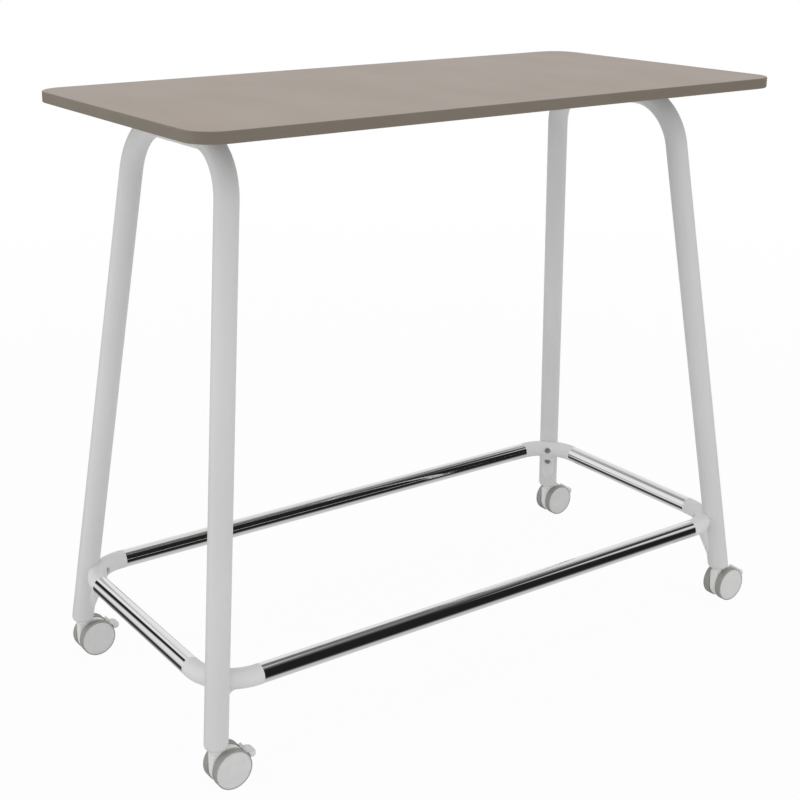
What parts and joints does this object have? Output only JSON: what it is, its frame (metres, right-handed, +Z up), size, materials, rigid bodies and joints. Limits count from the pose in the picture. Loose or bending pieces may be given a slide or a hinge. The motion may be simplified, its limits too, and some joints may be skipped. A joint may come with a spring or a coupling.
{
  "type": "standing meeting table",
  "caption": "Standing-height rectangular table on splayed bent-tube legs, with a chromed footrest ring and braked twin-wheel casters",
  "frame": {"origin": "on the floor under the middle of the worktop, where the table's two upright middle planes meet the floor", "axes": "+X along the long side of the worktop, towards the side that the casters trail to; +Y across it, to the rear; +Z up"},
  "size_m": [1.2483, 0.6, 1.065],
  "materials": {
    "core_board": "matte",
    "worktop_laminate": "satin",
    "edge_band": "satin",
    "backing_laminate": "matte",
    "frame_paint": "satin",
    "frame_plastic": "matte",
    "connector_paint": "satin",
    "rail_chrome": "polished",
    "zinc_steel": "satin",
    "dark_steel": "satin",
    "caster_plastic": "matte",
    "wheel_plastic": "matte",
    "tyre_rubber": "matte",
    "lever_plastic": "matte"
  },
  "bodies": {
    "table": {"tabletop_core": "core_board", "tabletop_laminate": "worktop_laminate", "tabletop_backing_laminate": "backing_laminate", "tabletop_edge_band": "edge_band", "left_leg_frame": "frame_paint", "right_leg_frame": "frame_paint", "left_mounting_plate": "frame_paint", "right_mounting_plate": "frame_paint", "tabletop_screws": "zinc_steel", "tabletop_inserts": "zinc_steel", "front_footrest_rail": "rail_chrome", "rear_footrest_rail": "rail_chrome", "left_footrest_rail": "rail_chrome", "right_footrest_rail": "rail_chrome", "connector_screws": "dark_steel", "leg_rivet_nuts": "zinc_steel", "front_left_foot_cap": "frame_plastic", "front_left_corner_connector": "connector_paint", "front_right_foot_cap": "frame_plastic", "front_right_corner_connector": "connector_paint", "rear_left_foot_cap": "frame_plastic", "rear_left_corner_connector": "connector_paint", "rear_right_foot_cap": "frame_plastic", "rear_right_corner_connector": "connector_paint"},
    "front_left_caster": {"front_left_caster_body": "caster_plastic", "front_left_caster_stem": "zinc_steel", "front_left_caster_axle": "zinc_steel"},
    "front_left_front_wheel_set": {"front_left_front_wheel": "wheel_plastic", "front_left_front_tyre": "tyre_rubber"},
    "front_left_rear_wheel_set": {"front_left_rear_wheel": "wheel_plastic", "front_left_rear_tyre": "tyre_rubber"},
    "front_left_brake": {"front_left_brake_lever": "lever_plastic"},
    "front_right_caster": {"front_right_caster_body": "caster_plastic", "front_right_caster_stem": "zinc_steel", "front_right_caster_axle": "zinc_steel"},
    "front_right_front_wheel_set": {"front_right_front_wheel": "wheel_plastic", "front_right_front_tyre": "tyre_rubber"},
    "front_right_rear_wheel_set": {"front_right_rear_wheel": "wheel_plastic", "front_right_rear_tyre": "tyre_rubber"},
    "front_right_brake": {"front_right_brake_lever": "lever_plastic"},
    "rear_left_caster": {"rear_left_caster_body": "caster_plastic", "rear_left_caster_stem": "zinc_steel", "rear_left_caster_axle": "zinc_steel"},
    "rear_left_front_wheel_set": {"rear_left_front_wheel": "wheel_plastic", "rear_left_front_tyre": "tyre_rubber"},
    "rear_left_rear_wheel_set": {"rear_left_rear_wheel": "wheel_plastic", "rear_left_rear_tyre": "tyre_rubber"},
    "rear_left_brake": {"rear_left_brake_lever": "lever_plastic"},
    "rear_right_caster": {"rear_right_caster_body": "caster_plastic", "rear_right_caster_stem": "zinc_steel", "rear_right_caster_axle": "zinc_steel"},
    "rear_right_front_wheel_set": {"rear_right_front_wheel": "wheel_plastic", "rear_right_front_tyre": "tyre_rubber"},
    "rear_right_rear_wheel_set": {"rear_right_rear_wheel": "wheel_plastic", "rear_right_rear_tyre": "tyre_rubber"},
    "rear_right_brake": {"rear_right_brake_lever": "lever_plastic"}
  },
  "joints": [
    {"name": "front_left_swivel", "type": "hinge", "parent": "table", "child": "front_left_caster", "pos_m": [-0.58011, -0.25938, 0.0692], "axis": [0, 0, 1], "continuous": true},
    {"name": "front_left_front_wheel_spin", "type": "hinge", "parent": "front_left_caster", "child": "front_left_front_wheel_set", "pos_m": [-0.56031, -0.25938, 0.0336], "axis": [0, 1, 0], "continuous": true},
    {"name": "front_left_rear_wheel_spin", "type": "hinge", "parent": "front_left_caster", "child": "front_left_rear_wheel_set", "pos_m": [-0.56031, -0.25938, 0.0336], "axis": [0, 1, 0], "continuous": true},
    {"name": "front_left_brake_press", "type": "hinge", "parent": "front_left_caster", "child": "front_left_brake", "pos_m": [-0.54331, -0.25938, 0.0436], "axis": [0, 1, 0], "range_deg": [0, 14]},
    {"name": "front_right_swivel", "type": "hinge", "parent": "table", "child": "front_right_caster", "pos_m": [0.58011, -0.25938, 0.0692], "axis": [0, 0, 1], "continuous": true},
    {"name": "front_right_front_wheel_spin", "type": "hinge", "parent": "front_right_caster", "child": "front_right_front_wheel_set", "pos_m": [0.59991, -0.25938, 0.0336], "axis": [0, 1, 0], "continuous": true},
    {"name": "front_right_rear_wheel_spin", "type": "hinge", "parent": "front_right_caster", "child": "front_right_rear_wheel_set", "pos_m": [0.59991, -0.25938, 0.0336], "axis": [0, 1, 0], "continuous": true},
    {"name": "front_right_brake_press", "type": "hinge", "parent": "front_right_caster", "child": "front_right_brake", "pos_m": [0.61691, -0.25938, 0.0436], "axis": [0, 1, 0], "range_deg": [0, 14]},
    {"name": "rear_left_swivel", "type": "hinge", "parent": "table", "child": "rear_left_caster", "pos_m": [-0.58011, 0.25938, 0.0692], "axis": [0, 0, 1], "continuous": true},
    {"name": "rear_left_front_wheel_spin", "type": "hinge", "parent": "rear_left_caster", "child": "rear_left_front_wheel_set", "pos_m": [-0.56031, 0.25938, 0.0336], "axis": [0, 1, 0], "continuous": true},
    {"name": "rear_left_rear_wheel_spin", "type": "hinge", "parent": "rear_left_caster", "child": "rear_left_rear_wheel_set", "pos_m": [-0.56031, 0.25938, 0.0336], "axis": [0, 1, 0], "continuous": true},
    {"name": "rear_left_brake_press", "type": "hinge", "parent": "rear_left_caster", "child": "rear_left_brake", "pos_m": [-0.54331, 0.25938, 0.0436], "axis": [0, 1, 0], "range_deg": [0, 14]},
    {"name": "rear_right_swivel", "type": "hinge", "parent": "table", "child": "rear_right_caster", "pos_m": [0.58011, 0.25938, 0.0692], "axis": [0, 0, 1], "continuous": true},
    {"name": "rear_right_front_wheel_spin", "type": "hinge", "parent": "rear_right_caster", "child": "rear_right_front_wheel_set", "pos_m": [0.59991, 0.25938, 0.0336], "axis": [0, 1, 0], "continuous": true},
    {"name": "rear_right_rear_wheel_spin", "type": "hinge", "parent": "rear_right_caster", "child": "rear_right_rear_wheel_set", "pos_m": [0.59991, 0.25938, 0.0336], "axis": [0, 1, 0], "continuous": true},
    {"name": "rear_right_brake_press", "type": "hinge", "parent": "rear_right_caster", "child": "rear_right_brake", "pos_m": [0.61691, 0.25938, 0.0436], "axis": [0, 1, 0], "range_deg": [0, 14]}
  ]
}
